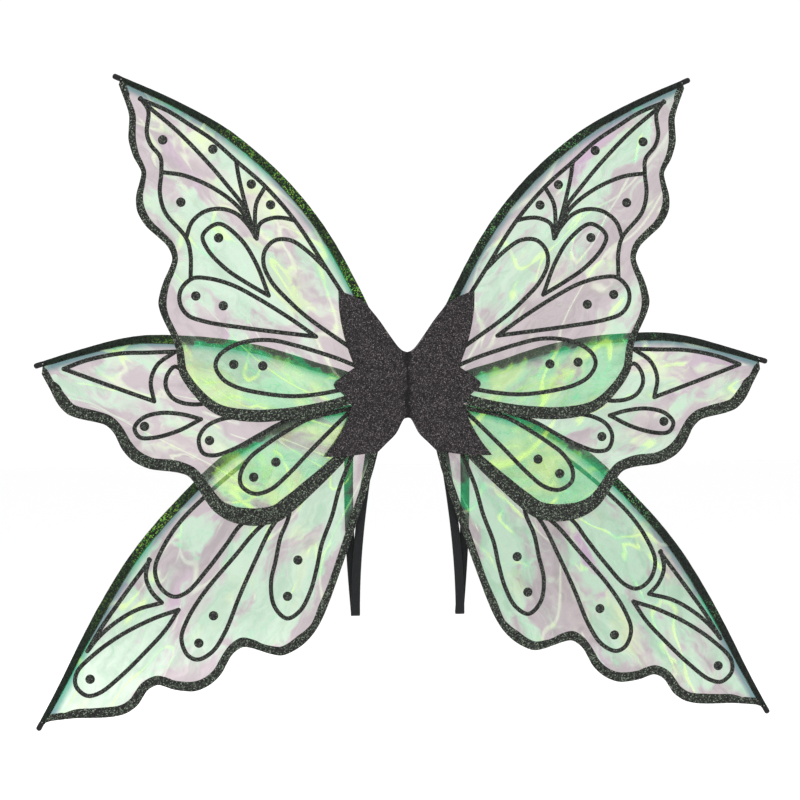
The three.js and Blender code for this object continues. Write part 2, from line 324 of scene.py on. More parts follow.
def rubber(name):
    look = Look(name)
    grain = look.noise(look.object_place(), 900, 4)
    look.surface(
        Base_Color=look.mix(grain, (0.004, 0.004, 0.004), (0.012, 0.012, 0.012)),
        Roughness=look.steps(grain, 0.3, 0.7, 0.5, 0.68),
        Specular_IOR_Level=0.2,
        Normal=look.bump(grain, 0.0001, 0.6),
    )
    return look.material


PINK_PASSED = (0.62, 0.52, 0.565)  # the light that each tint of the film lets through
VIOLET_PASSED = (0.66, 0.45, 0.64)
MINT_PASSED = (0.84, 0.785, 0.77)
# painted highlight: the pale colour passed along the creases
CREASE_HIGHLIGHT_PASSED = (0.95, 0.95, 0.84)
SHADOW_PASSED = (0.09, 0.22, 0.25)  # painted shadow, passed close beside the binding
TEAL_SHEEN = (0.07, 0.66, 0.27)  # and sends back
LIME_SHEEN = (0.50, 0.86, 0.18)
ROSE_SHEEN = (0.50, 0.52, 0.48)


def film(name, angle, shift, rose, shade):
    """Crinkled iridescent film, whose creases run at this angle from level.

    rose is how much of it looks pink, and shade is the painted shade on the light that it lets through, a
    mean share kept that is lower on the right-hand and lower wings. The mesh's attributes say what is close
    beside the binding (painted shadow there), what is near an edge, and what has a second film in front or
    behind (painted brighter and greener there).
    """
    look = Look(name)
    turned = look.add("Mapping", {
        "Vector": look.object_place(), "Rotation": (0, math.radians(angle), 0), "Location": shift,
    }).outputs[0]
    stretched = look.vector("MULTIPLY", turned, (0.36, 1, 1))
    warp = look.vector("SUBTRACT", look.noise(turned, 16, 3, out="Color"), HALF)
    warped = look.vector("ADD", stretched, look.vector("SCALE", warp, 0.05))
    # painted reflection and light: where a second film lies in front or behind, this one is made more mint,
    # greener, more reflective and lighter
    doubled = look.attribute("doubled")

    # broad patches with smaller flat facets in them
    broad = look.noise(warped, 27, 3, 0.55, 0.7)
    wide = look.noise(stretched, 14, 2)
    facet = look.split(look.cells(warped, 42)["Color"])[0]
    chip = look.split(look.cells(warped, 105)["Color"])[1]
    small = look.noise(warped, 95, 4, 0.65)
    level = look.total(
        broad, (wide, 0.8), (facet, 0.08), (small, 0.16), (chip, 0.04), (doubled, 0.22),
        (look.attribute("rim"), -0.16),
    )
    mint = look.steps(level, rose + 0.86, rose + 1.06)

    # long thin creases that come and go, and a fine crackle: painted highlights, where more green sheen shows
    # and a paler colour passes
    def crease(scale, width, offset):
        line = look.noise(look.vector("ADD", stretched, offset), scale, 2, 0.45, 0.5)
        away = look.maths("ABSOLUTE", look.maths("SUBTRACT", line, 0.5))
        return look.steps(away, 0.0, width, 1.0, 0.0)

    patchy = look.steps(look.noise(turned, 24, 2), 0.42, 0.62)
    sharp = look.times(crease(18, 0.026, (7, 1, 4)), patchy)
    sharp = look.maths("MAXIMUM", sharp, look.times(crease(8, 0.012, (1, 2, 3)), 0.85))
    crackle = look.steps(look.cells(warped, 75, feature="DISTANCE_TO_EDGE")[0], 0.0, 0.07, 1.0, 0.0)
    crackle = look.times(crackle, look.steps(small, 0.45, 0.65))

    tone = look.noise(look.vector("ADD", warped, (5, 5, 5)), 20, 3, 0.6)
    lime = look.steps(look.total(tone, (sharp, 0.22), (doubled, 0.05)), 0.48, 0.70)
    share = look.total(0.10, (mint, 0.17), (sharp, 0.26), (doubled, 0.05))
    share = look.total(share, (crackle, look.total(0.10, (doubled, 0.14))))
    height = look.total(small, (facet, 0.5), (sharp, 0.6), (crackle, 0.25))
    green = look.mix(lime, TEAL_SHEEN, LIME_SHEEN)
    shader = look.surface(
        Base_Color=look.mix(look.steps(mint, 0, 1, 0.2, 1), ROSE_SHEEN, green),
        Metallic=0.3,
        Roughness=0.24,
        Normal=look.bump(height, 0.0013, 0.8),
    )
    violet = look.steps(look.noise(look.vector("ADD", warped, (3, 8, 1)), 15, 2), 0.56, 0.70)
    passed = look.mix(mint, look.mix(violet, PINK_PASSED, VIOLET_PASSED), MINT_PASSED)
    # painted highlight along the creases
    passed = look.mix(look.times(look.steps(sharp, 0.2, 1), 0.7), passed, CREASE_HIGHLIGHT_PASSED)
    # painted shade: the passed light darkens and lightens in slow waves round the wing's shade, and is
    # lighter where a second film overlaps
    shade_waves = look.noise(warped, 40, 4, 0.65, 0.8)
    dim = look.total(look.steps(shade_waves, 0.3, 0.62, shade - 0.13, shade + 0.08), (doubled, 0.11))
    # painted shadow close beside the binding
    beside = look.attribute("beside_binding")
    passed = look.mix(beside, look.vector("SCALE", passed, dim), SHADOW_PASSED)
    clear = look.add("BsdfTransparent", {"Color": passed}).outputs[0]
    both = look.add("MixShader", {0: share, 1: clear, 2: shader}).outputs[0]
    look.set(look.output.inputs["Surface"], both)
    return look.material


LOOKS = {
    "cover": glitter(
        "glitter_foam", (0.011, 0.0095, 0.010), (0.20, 0.175, 0.175), (0.12, 0.105, 0.12), 0.9, 0.26,
        # the dark line along the fold is painted shade
        crease=0.85,
    ),
    "edging": glitter(
        "black_glitter", (0.010, 0.0115, 0.010), (0.26, 0.30, 0.25), (0.18, 0.24, 0.15), 1.0, 0.26,
    ),
    "print": glitter(
        "printed_glitter", (0.010, 0.011, 0.010), (0.17, 0.19, 0.16), (0.12, 0.15, 0.11), 0.9, 0.24,
    ),
    # one green glitter in two copies: the left-hand one painted lighter, with more and brighter flakes as
    # painted glints, the right-hand one darker and sparser as painted shade
    "left_binding": glitter(
        "green_glitter", (0.003, 0.008, 0.004), (0.04, 0.36, 0.05), (0.36, 0.50, 0.08), 1.3, 0.42,
        worn=0.8, bare=True,
    ),
    "right_binding": glitter(
        "green_glitter_painted_shade", (0.004, 0.007, 0.005), (0.05, 0.26, 0.10), (0.20, 0.32, 0.12), 1.3, 0.28,
        worn=0.95, bare=True,
    ),
    "felt": felt("black_felt", (0.006, 0.006, 0.0065), (0.062, 0.060, 0.063)),
    "tape": felt("seam_felt", (0.005, 0.005, 0.005), (0.035, 0.034, 0.035)),
    "thread": felt("grey_thread", (0.05, 0.05, 0.05), (0.13, 0.13, 0.13)),
    "strap": elastic("black_elastic"),
    "wire": steel("spring_steel"),
    "cap": rubber("black_rubber"),
}


# ---- lines and sheets
def smooth_line(points, spacing):
    """A smooth line through the points, as points about this far apart (centripetal Catmull-Rom)."""
    p = np.asarray(points, float)
    p = np.vstack([2 * p[0] - p[1], p, 2 * p[-1] - p[-2]])
    line = []
    for a, b, c, d in zip(p, p[1:], p[2:], p[3:]):
        t1 = math.sqrt(np.linalg.norm(b - a))
        t2 = t1 + math.sqrt(np.linalg.norm(c - b))
        t3 = t2 + math.sqrt(np.linalg.norm(d - c))
        steps = max(1, round(np.linalg.norm(c - b) / spacing))
        for t in np.linspace(t1, t2, steps, endpoint=False):
            ab = a + (b - a) * t / t1
            bc = b + (c - b) * (t - t1) / (t2 - t1)
            cd = c + (d - c) * (t - t2) / (t3 - t2)
            abc = ab + (bc - ab) * t / t2
            bcd = bc + (cd - bc) * (t - t1) / (t3 - t1)
            line.append(abc + (bcd - abc) * (t - t1) / (t2 - t1))
    return np.array([*line, p[-2]])


def divided(ends, spacing):
    """Points about this far apart, straight from each end to the next, without the last end."""
    line = []
    for a, b in zip(ends, ends[1:]):
        count = max(1, round(np.linalg.norm(b - a) / spacing))
        line += [a + (b - a) * i / count for i in range(count)]
    return np.array(line)


def directions(line):
    """The unit direction of a line at each of its points."""
    along = np.gradient(line, axis=0)
    return along / np.linalg.norm(along, axis=1)[:, None]


def lengths(line):
    """How far along the line each of its points is."""
    return np.concatenate([[0], np.cumsum(np.linalg.norm(np.diff(line, axis=0), axis=1))])


def sideways(line):
    """The unit direction across a line at each of its points, to its right."""
    along = directions(line)
    return np.stack([along[:, 1], -along[:, 0]], axis=1)


def signed_area(outline):
    """The area in a closed outline, negative where it runs clockwise."""
    ends = np.roll(outline, -1, 0)
    return np.sum(outline[:, 0] * ends[:, 1] - outline[:, 1] * ends[:, 0]) / 2


def nearest(points, others):
    """Each point's distance to the nearest of the others."""
    found = []
    for start in range(0, len(points), 2000):
        part = points[start:start + 2000]
        found.append(np.linalg.norm(part[:, None] - others[None], axis=2).min(1))
    return np.concatenate(found)


def inside(points, outline):
    """True for each point inside a closed outline."""
    x, z = points[:, 0][:, None], points[:, 1][:, None]
    a, b = outline, np.roll(outline, -1, 0)
    crosses = (a[:, 1] > z) != (b[:, 1] > z)
    with np.errstate(divide="ignore", invalid="ignore"):
        at = a[:, 0] + (z - a[:, 1]) * (b[:, 0] - a[:, 0]) / (b[:, 1] - a[:, 1])
    return (crosses & (x < at)).sum(1) % 2 == 1


def joined(places, faces):
    """The union of flat faces that may overlap, as triangles, counter-clockwise from the front."""
    verts, _, made, _, _, parents = delaunay_2d_cdt([Vector(p) for p in places], [], faces, 1, 1e-7)
    verts = np.array([tuple(v) for v in verts])
    triangles = []
    for face, parent in zip(made, parents):
        if not parent:
            continue
        a, b, c = verts[face[0]], verts[face[1]], verts[face[2]]
        turns = (b[0] - a[0]) * (c[1] - a[1]) - (b[1] - a[1]) * (c[0] - a[0])
        triangles.append(tuple(face) if turns > 0 else tuple(reversed(face)))
    return verts, triangles


def filled(outline, spacing):
    """A flat sheet inside a closed outline, as points and triangles of about this size."""
    low, high = outline.min(0), outline.max(0)
    rows = np.arange(low[1], high[1], spacing * math.sqrt(3) / 2)
    grid = [
        (x + spacing / 2 * (i % 2), z)
        for i, z in enumerate(rows)
        for x in np.arange(low[0], high[0], spacing)
    ]
    grid = np.array(grid)
    grid = grid[inside(grid, outline)]
    grid = grid[nearest(grid, outline) > spacing * 0.6]
    return joined([*outline, *grid], [list(range(len(outline)))])


def border_of(faces):
    """The directed edges that only one face has."""
    edges = {(a, b) for face in faces for a, b in zip(face, (*face[1:], face[0]))}
    return [(a, b) for a, b in sorted(edges) if (b, a) not in edges]


def raised(places, level):
    return [(x, y, z) for (x, z), y in zip(places, level)]


def slab(places, faces, front, back):
    """A closed sheet: front faces at y = front, back faces at y = back, and a rim between them."""
    count = len(places)
    vertices = raised(places, front) + raised(places, back)
    behind = [tuple(i + count for i in reversed(face)) for face in faces]
    rim = [(b, a, a + count, b + count) for a, b in border_of(faces)]
    return vertices, [*faces, *behind, *rim]


def grid_faces(rows, wide, first=0):
    """The faces between rows of points, where the points come row by row."""
    return [
        (a, a + 1, a + 1 + wide, a + wide)
        for start in range(first, first + (rows - 1) * wide, wide)
        for a in range(start, start + wide - 1)
    ]


def ring_faces(rings, wide):
    """The faces of a tube with closed ends, where the points come ring by ring."""
    last = (rings - 1) * wide
    faces = grid_faces(rings, wide)
    faces += [(a + wide - 1, a, a + wide, a + 2 * wide - 1) for a in range(0, last, wide)]
    return [*faces, tuple(range(wide - 1, -1, -1)), tuple(range(last, last + wide))]


def ring_of(radius, sides=16):
    turns = [2 * math.pi * k / sides for k in range(sides)]
    return [(radius * math.cos(t), radius * math.sin(t)) for t in turns]


def tube(centres, sections):
    """A closed tube: one ring of points for each centre, each section as (across, forward)."""
    vertices = []
    for (x, z), (nx, nz), (ring, y) in zip(centres, sideways(centres), sections):
        vertices += [(x + u * nx, y - v, z + u * nz) for u, v in ring]
    return vertices, ring_faces(len(centres), len(sections[0][0]))


def piece(name, made, sign, look, sharp=50):
    """A new mesh object in one of the LOOKS, mirrored for the left-hand side."""
    vertices, faces = made
    if sign < 0:
        vertices = [(-x, y, z) for x, y, z in vertices]
        faces = [tuple(reversed(face)) for face in faces]
    mesh = bpy.data.meshes.new(name)
    mesh.from_pydata([tuple(map(float, v)) for v in vertices], [], faces)
    mesh.shade_smooth()
    mesh.set_sharp_from_angle(angle=math.radians(sharp))
    mesh.materials.append(LOOKS[look])
    return placed(name, mesh)


def mark(made, name, values):
    """Gives a mesh a named number at each point, for its material to read."""
    made.data.attributes.new(name, "FLOAT", "POINT").data.foreach_set("value", np.asarray(values))


# ---- what the frame says
def front_loop(node):
    """The outline of a flat node's front face, in order, as (out, up)."""
    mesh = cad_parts[node].data
    keys = [tuple(round(c * 1e5) for c in v.co) for v in mesh.vertices]
    front = min(key[1] for key in keys) + 2
    faces = []
    for face in mesh.polygons:
        corners = [keys[i] for i in face.vertices]
        if all(corner[1] <= front for corner in corners):
            faces.append([(x, z) for x, _, z in corners])
    following = dict(border_of(faces))
    loop = [min(following)]
    while following[loop[-1]] != loop[0]:
        loop.append(following[loop[-1]])
    return np.array(loop) / 1e5


def run_of(loop, chosen):
    """The unbroken run of a loop's chosen points, in the loop's order."""
    start = next(i for i in range(len(loop)) if chosen[i] and not chosen[i - 1])
    order = [(start + i) % len(loop) for i in range(len(loop))]
    return loop[[i for i in order if chosen[i]]]


def wire_line(node):
    """The middle line of a wire, from its root to its end, as (out, up)."""
    points = np.array([v.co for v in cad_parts[node].data.vertices])[:, [0, 2]]
    rings = []
    while len(points):
        near = np.linalg.norm(points - points[0], axis=1) < 2.2 * MM
        rings.append((points[near].min(0) + points[near].max(0)) / 2)
        points = points[~near]
    rings.sort(key=np.linalg.norm)
    line = [rings.pop(0)]
    while rings:
        rings.sort(key=lambda ring: np.linalg.norm(ring - line[-1]))
        line.append(rings.pop(0))
    return np.array(line)


TIP_EDGING = (8.5 * MM, 30 * MM)  # the edging's least width near the tip, and how far that reaches


def to_the_tip(rows, lead, outline):
    """The edging's two edges, kept wide near the tip and run on into the binding there."""
    width, reach = TIP_EDGING
    outer, across = rows[:, :2], rows[:, 2:] - rows[:, :2]
    size = np.linalg.norm(across, axis=1)
    along = np.linalg.norm(outer - outer[-1], axis=1)
    least = width * np.clip(2 - 2 * along / reach, 0, 1)
    forward = directions(outer)
    straight = np.column_stack([-forward[:, 1], forward[:, 0]])
    straight *= np.sign(np.sum(straight * across))
    narrow = size < least
    across[narrow] = straight[narrow] * least[narrow, None]
    inner = outer + across
    for i in np.nonzero(narrow & ~inside(inner, outline))[0]:
        inner[i] = lead[np.argmin(np.linalg.norm(lead - inner[i], axis=1))]
    return np.vstack([outer, lead[0]]), np.vstack([inner, inner[-1]])


LIE = {"upper": 50, "middle": 24, "lower": -62}  # the way each film's creases run, degrees from level


def read_wing(name):
    """One wing of the right-hand side: its wire, its film's edges and its place front to back."""
    film_loop = front_loop(f"right_{name}_film")
    edging_loop = front_loop(f"right_{name}_edging")
    shared = {tuple(p) for p in film_loop} & {tuple(p) for p in edging_loop}
    on_free_edge = np.array([tuple(p) in shared for p in film_loop])
    free = run_of(film_loop, on_free_edge)
    lead = smooth_line(run_of(film_loop, ~on_free_edge), 3 * MM)
    inner = run_of(edging_loop, [tuple(p) not in shared for p in edging_loop])[::-1]
    rows = smooth_line(np.hstack([free, inner]), 2.2 * MM)
    outer, inner = to_the_tip(rows, lead, film_loop)
    low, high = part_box(f"right_{name}_film")
    return {
        "name": name,
        "y": (low.y + high.y) / 2,
        "wire": wire_line(f"right_{name}_wire"),
        "lead": lead,
        "outer": outer,
        "inner": inner,
        "outline": film_loop,
    }


CALM_EDGE = 30 * MM  # the film lies flatter than this near its binding
CALM_ROOT = 45 * MM  # and is flat to this distance from the fold


def rumpled(wing, sign, places):
    """How far the film stands behind its flat place, in metres, at each (out, up) place."""
    turn = math.radians(LIE[wing["name"]])
    seed = 10 * WINGS.index(wing["name"]) + (0 if sign > 0 else 37)
    calm = np.clip(nearest(places, wing["lead"]) / CALM_EDGE, 0, 1)
    calm = calm * calm * (3 - 2 * calm) * np.clip((places[:, 0] - CALM_ROOT) / (50 * MM), 0, 1)
    heights = []
    for (x, z), share in zip(places, calm):
        u = x * math.cos(turn) + z * math.sin(turn)
        v = -x * math.sin(turn) + z * math.cos(turn)
        broad = noise.noise((7 * u, 15 * v, seed))
        ridge = 1 - 2 * abs(noise.noise((11 * u, 30 * v, seed + 5)))
        fine = noise.noise((34 * u, 60 * v, seed + 9))
        heights.append(share * (1.1 * broad + 0.45 * ridge ** 3 + 0.22 * fine) * MM)
    return np.array(heights)


# ---- the printed lines on each wing
# All in millimetres. Points are (out, up) from the middle of the back pad.
LINE = 5.2  # a line's width
DOT = 5.8  # a dot's radius
PRINT = {
    "upper": {
        "lines": [
            [(321, 346), (288, 332), (261, 315), (234, 297), (206, 272), (171, 241), (135, 199), (95, 137),
             (70, 98)],
            [(320, 347), (311, 332), (313, 306), (309, 292), (297, 276), (296, 258), (298, 234), (292, 210),
             (267, 179), (262, 160), (262, 130)],
            [(311, 337), (277, 308), (244, 274), (220, 246), (196, 214), (182, 178)],
            [(294, 258), (268, 254), (232, 238), (202, 214), (184, 182)],
            [(206, 271), (203, 252), (196, 222), (184, 180)],
            [(173, 238), (182, 221), (184, 198), (182, 178)],
            [(267, 179), (260, 198), (244, 211), (224, 214), (206, 208), (192, 194), (182, 178)],
            [(182, 180), (178, 196), (163, 203), (149, 203), (136, 200)],
            [(168, 109), (184, 150), (202, 178), (228, 196), (247, 182), (242, 166), (220, 142), (192, 123),
             (168, 109)],
            [(98, 141), (121, 163), (141, 176), (160, 176), (172, 164), (174, 147), (164, 125), (144, 103),
             (122, 83), (66, 43)],
            [(111, 59), (142, 81), (180, 105), (212, 122), (240, 130), (260, 130), (274, 116), (275, 100),
             (266, 86), (245, 78), (197, 70), (111, 59)],
            [(60, 22), (87, 33), (111, 41), (134, 48), (165, 55), (193, 54), (213, 48), (229, 36), (233, 24),
             (225, 9), (209, -1), (183, -8), (142, -13), (111, -11), (76, -5)],
        ],
        "dots": [(294, 297), (234, 286), (188, 244), (165, 219), (273, 222), (228, 179), (256, 109),
                 (223, 97), (211, 26), (176, 24)],
    },
    "middle": {
        "lines": [
            [(415, 22), (388, 32), (348, 40), (313, 41), (281, 42)],
            [(281, 42), (303, 26), (311, 6), (307, -18)],
            [(307, -18), (359, 1), (415, 22)],
            [(274, 20), (282, 24), (291, 14), (293, 0), (285, -14), (269, -21), (247, -20), (258, -6),
             (269, 8), (274, 20)],
            [(251, -40), (273, -34), (299, -32), (321, -38), (331, -50), (325, -61), (309, -62), (279, -54),
             (251, -40)],
            [(66, -19), (112, -31), (155, -46), (189, -65), (213, -77), (235, -84), (249, -81), (254, -65),
             (247, -51), (229, -41), (198, -37), (158, -36), (112, -28), (66, -19)],
            [(66, -28), (121, -41), (147, -55), (173, -72), (193, -88), (204, -107), (203, -121), (188, -131),
             (169, -127), (147, -109), (119, -80), (91, -52), (66, -28)],
        ],
        "dots": [(319, -48), (241, -66), (161, -93), (188, -111)],
    },
    "lower": {
        "lines": [
            [(197, -92), (222, -112), (247, -134), (277, -164), (297, -193), (308, -221), (302, -243),
             (286, -255), (270, -250), (246, -224), (222, -193), (204, -169), (184, -157), (143, -143)],
            [(143, -143), (184, -175), (210, -205), (250, -252), (270, -284), (277, -306), (270, -326),
             (258, -332), (240, -323), (224, -299), (206, -255), (186, -211), (167, -173), (143, -143)],
            [(143, -143), (146, -161), (156, -185), (162, -213), (168, -241), (164, -269), (149, -284),
             (133, -275), (120, -251), (112, -223), (106, -195), (93, -160), (84, -127), (74, -101),
             (62, -72)],
            [(314, -210), (346, -253), (373, -291), (390, -319)],
            [(390, -319), (376, -302), (356, -285), (330, -270), (300, -262)],
            [(300, -262), (312, -249), (319, -231), (315, -209)],
            [(280, -271), (310, -281), (349, -300), (383, -324), (403, -345), (404, -361), (391, -373),
             (376, -370), (350, -350), (320, -321), (296, -295), (280, -271)],
        ],
        "dots": [(238, -279), (256, -312), (135, -213), (148, -257), (387, -353)],
    },
}
ACROSS = (-1, -0.6, 0, 0.6, 1)  # where a line's points lie across its width


def line_faces(points, places, faces):
    """Adds one round-ended line to the flat faces."""
    half = LINE / 2
    line = smooth_line(points, 3)
    along = directions(line)
    turns = [math.radians(turn) for turn in (80, 55, 28)]
    round_end = [(half * math.sin(t), math.cos(t)) for t in turns]
    rows = [(line[0] - along[0] * out, share, along[0]) for out, share in round_end]
    rows += [(place, 1, way) for place, way in zip(line, along)]
    rows += [(line[-1] + along[-1] * out, share, along[-1]) for out, share in reversed(round_end)]
    faces += grid_faces(len(rows), len(ACROSS), len(places))
    for place, share, (dx, dz) in rows:
        wide = half * share
        places += [(place[0] + s * wide * dz, place[1] - s * wide * dx) for s in ACROSS]


def dot_faces(centre, places, faces, sides=20):
    first = len(places)
    places.append(centre)
    for radius in (0.6 * DOT, DOT):
        places += [(centre[0] + x, centre[1] + z) for x, z in ring_of(radius, sides)]
    for k in range(sides):
        a, b = first + 1 + k, first + 1 + (k + 1) % sides
        faces += [(first, a, b), (a, a + sides, b + sides, b)]


def printed(wing, sign):
    """The wing's lines and dots as one closed layer round the film, following its creases."""
    places, faces = [], []
    for points in PRINT[wing["name"]]["lines"]:
        line_faces(points, places, faces)
    for centre in PRINT[wing["name"]]["dots"]:
        dot_faces(centre, places, faces)
    places, faces = joined([(x * MM, z * MM) for x, z in places], faces)
    middle = wing["y"] + rumpled(wing, sign, places)
    thick = np.full(len(places), 0.38 * MM)
    thick[[a for edge in border_of(faces) for a in edge]] = 0.12 * MM
    return slab(places, faces, middle - thick, middle + thick)


# ---- one wing
EDGING_ROWS = ((0, 0.2), (0.05, 0.45), (0.2, 0.62), (0.5, 0.68), (0.8, 0.62), (0.95, 0.45), (1, 0.15))
FILM_INSET = 0.15  # the film ends this share of the edging's width inside it


def film_mesh(wing, sign):
    free = (wing["outer"] + (wing["inner"] - wing["outer"]) * FILM_INSET)[:-1]
    outline = np.vstack([wing["lead"], free])
    places, faces = filled(outline, 3.4 * MM)
    heights = wing["y"] + rumpled(wing, sign, places)
    return raised(places, heights), faces, tuple(np.ptp(places, axis=0)), abs(signed_area(outline))


def doubled(places, beside):
    """1 where another wing is in front or behind, 0 where there is none."""
    share = np.zeros(len(places))
    for wing in beside:
        outline = wing["outline"]
        within = inside(places, outline)
        share[within] = np.maximum(share, np.clip(nearest(places, outline) / (8 * MM), 0, 1))[within]
    return share


def edging_mesh(wing, sign):
    count = len(wing["outer"])
    across = wing["inner"] - wing["outer"]
    places = np.vstack([wing["outer"] + across * share for share, _ in EDGING_ROWS])
    lift = np.repeat([high * MM for _, high in EDGING_ROWS], count)
    faces = grid_faces(len(EDGING_ROWS), count)
    if signed_area(places[list(faces[0])]) < 0:
        faces = [tuple(reversed(face)) for face in faces]
    middle = wing["y"] + rumpled(wing, sign, places)
    return slab(places, faces, middle - lift, middle + 0.7 * lift)


# The cloth folded round the wire, cut across, in millimetres: u towards the film, v to the front.
# Its back lip reaches further over the film than its front lip.
BINDING = (
    (-5.0, 0.3), (-4.6, 0.85), (-3.4, 1.3), (-1.6, 1.58), (0.2, 1.6), (1.8, 1.35), (2.9, 0.85),
    (4.0, 0.62), (4.8, 0.5), (5.0, 0.28), (5.0, -0.1), (5.8, -0.14), (6.2, -0.3), (5.8, -0.46),
    (4.4, -0.62), (2.9, -0.85), (1.8, -1.35), (0.2, -1.6), (-1.6, -1.58), (-3.4, -1.3),
    (-4.6, -0.85), (-5.0, -0.3),
)
BINDING_SHADOW = 12 * MM  # painted shadow darkens the film to this distance from its edge in the binding
RIM = 24 * MM  # and looks pinker than elsewhere to this distance from any of its edges
BARE_TIP = 150 * MM  # there is little or no glitter on this length of the binding before the tip
BINDING_TAPER = (150 * MM, 0.62)  # over this length before the tip, it narrows to this share


def sleeve_mesh(wing, sign):
    line = smooth_line(wing["wire"][1:-1], 3 * MM)
    left = np.linalg.norm(np.diff(line, axis=0), axis=1)[::-1].cumsum()[::-1]
    rings, bare = [], []
    for i, ((x, z), before_tip) in enumerate(zip(line, [*left, 0])):
        pucker = noise.noise((90 * x, 90 * z, sign))
        ease = min(1, (i + 2) / 4, (len(line) + 1 - i) / 4)
        length, least = BINDING_TAPER
        narrow = 1 - (1 - least) * max(0, 1 - before_tip / length)
        rings.append(([
            ((u + 0.25 * pucker * (abs(u) > 4)) * narrow * MM, v * (1 + 0.08 * pucker) * ease * MM)
            for u, v in BINDING
        ], wing["y"]))
        bare += [min(1, max(0, (BARE_TIP - before_tip) / (40 * MM)))] * len(BINDING)
    return tube(line, rings), bare


def wire_mesh(wing):
    line = smooth_line(wing["wire"], 3 * MM)
    return tube(line, [(ring_of(1.0 * MM, 12), wing["y"])] * len(line))


CAP_PROFILE = (  # distance from the cap's closed end, and radius there, in millimetres
    (0, 0.7), (0.2, 1.6), (0.7, 2.5), (1.6, 3.1), (2.8, 3.4), (8.6, 3.4), (9.0, 3.2), (9.3, 3.3),
    (9.7, 3.5), (10.1, 3.3), (10.2, 2.6),
)


def cap_mesh(wing):
    before, end = wing["wire"][-2:]
    way = (end - before) / np.linalg.norm(end - before)
    tip = end + way * 3 * MM
    centres = np.array([tip - way * far * MM for far, _ in CAP_PROFILE])
    return tube(centres[::-1], [(ring_of(r * MM), wing["y"]) for _, r in CAP_PROFILE][::-1])


STANDS_FOR = {
    "panel": "film", "border": "edging", "binding": "sleeve", "frame_wire": "wire", "cap": "tip_cap",
}


def add_wing(side, sign, wing, beside):
    name = f"{side}_{wing['name']}"
    vertices, faces, flat, area = film_mesh(wing, sign)
    sleeve, bare = sleeve_mesh(wing, sign)
    parts = {}
    for label, mesh, look, slot, sharp in (
        ("panel", (vertices, faces), name, "film", 180),
        ("border", edging_mesh(wing, sign), "edging", "glitter_edging", 50),
        ("binding", sleeve, f"{side}_binding", "binding", 50),
        ("frame_wire", wire_mesh(wing), "wire", "steel_wire", 50),
        ("cap", cap_mesh(wing), "cap", "cap_rubber", 50),
        ("print", printed(wing, sign), "print", "glitter_edging", 50),
    ):
        parts[label] = piece(f"{name}_{label}", mesh, sign, look, sharp)
        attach(parts[label], f"{name}_wing")
    for label, node in STANDS_FOR.items():
        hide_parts(f"{name}_{node}")
    places = np.array(vertices)[:, [0, 2]]
    away = nearest(places, wing["lead"])
    panel = parts["panel"]
    # painted shadow share beside the binding
    mark(panel, "beside_binding", np.clip((BINDING_SHADOW - away) / BINDING_SHADOW * 1.6, 0, 0.92))
    mark(panel, "rim", np.clip(1 - np.minimum(away, nearest(places, wing["outer"])) / RIM, 0, 1))
    # the overlap share, which the film paints brighter and greener as painted reflection
    mark(panel, "doubled", doubled(places, beside))
    mark(parts["binding"], "bare", bare)


# ---- the centre cover
SEAM = 0.15 * MM  # each half of the cover ends this far from the fold
CORNER = 45  # degrees; an outline that turns more than this at a point keeps its corner
COVER_STEP = 2.2 * MM
FOAM = 2  # millimetres, the front's thickness
TURNED = 1.3 * MM  # its thickness where it is turned back
VALLEY = 6.5 * MM  # how wide the dent along the fold is
SEAM_INSET = 4 * MM  # from the cover's edge to the row of stitches
FOLD_ENDS = ((SEAM, 39.6 * MM), (SEAM, -40.4 * MM))


def cover_outline():
    """A half's outline, brought in to the fold, with its corners kept. The fold's edge comes last."""
    loop = front_loop("right_front_cover")
    inner = loop[:, 0].min() + 0.05 * MM
    chain = run_of(loop, loop[:, 0] > inner)
    top_first = chain[0][1] > chain[-1][1]
    top, bottom = FOLD_ENDS
    chain = np.vstack([top, chain, bottom] if top_first else [bottom, chain, top])
    step = np.diff(chain, axis=0)
    way = np.arctan2(step[:, 1], step[:, 0])
    turn = np.degrees(np.abs((way[1:] - way[:-1] + math.pi) % (2 * math.pi) - math.pi))
    corners = [0, *(i + 1 for i, t in enumerate(turn) if t > CORNER), len(chain) - 1]
    runs = [smooth_line(chain[a:b + 1], COVER_STEP)[:-1] for a, b in zip(corners, corners[1:])]
    return np.vstack([*runs, chain[-1]])


def rounded(distance, reach):
    """How far an edge has fallen away, from 1 at the edge to 0 at this reach inside it."""
    share = np.clip(distance / reach, 0, 1)
    return 1 - np.sqrt(1 - (1 - share) ** 2)


def cover_sheet(spacing, wave, seed):
    """A half's outline filled, with each point's distance to the edge and a slow swell over it."""
    outline = cover_outline()
    fold = divided(outline[[-1, 0]], COVER_STEP)[1:]
    places, faces = filled(np.vstack([outline, fold]), spacing)
    swell = np.array([noise.noise((wave * x, wave * z, seed)) for x, z in places])
    return places, faces, nearest(places, outline), 1 + swell


def front_cover_mesh(sign):
    places, faces, edge, swell = cover_sheet(2.6 * MM, 28, 3 + sign)
    valley = np.exp(-((places[:, 0] / VALLEY) ** 2))
    swell *= 0.28 * np.clip(edge / (12 * MM), 0, 1)
    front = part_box("right_front_cover")[0].y
    front_y = front + (0.95 * rounded(edge, 2.4 * MM) + 1.15 * valley + swell) * MM
    back_y = front + (FOAM - 0.5 * rounded(edge, 2 * MM) - 0.55 * valley) * MM
    return slab(places, faces, front_y, back_y)


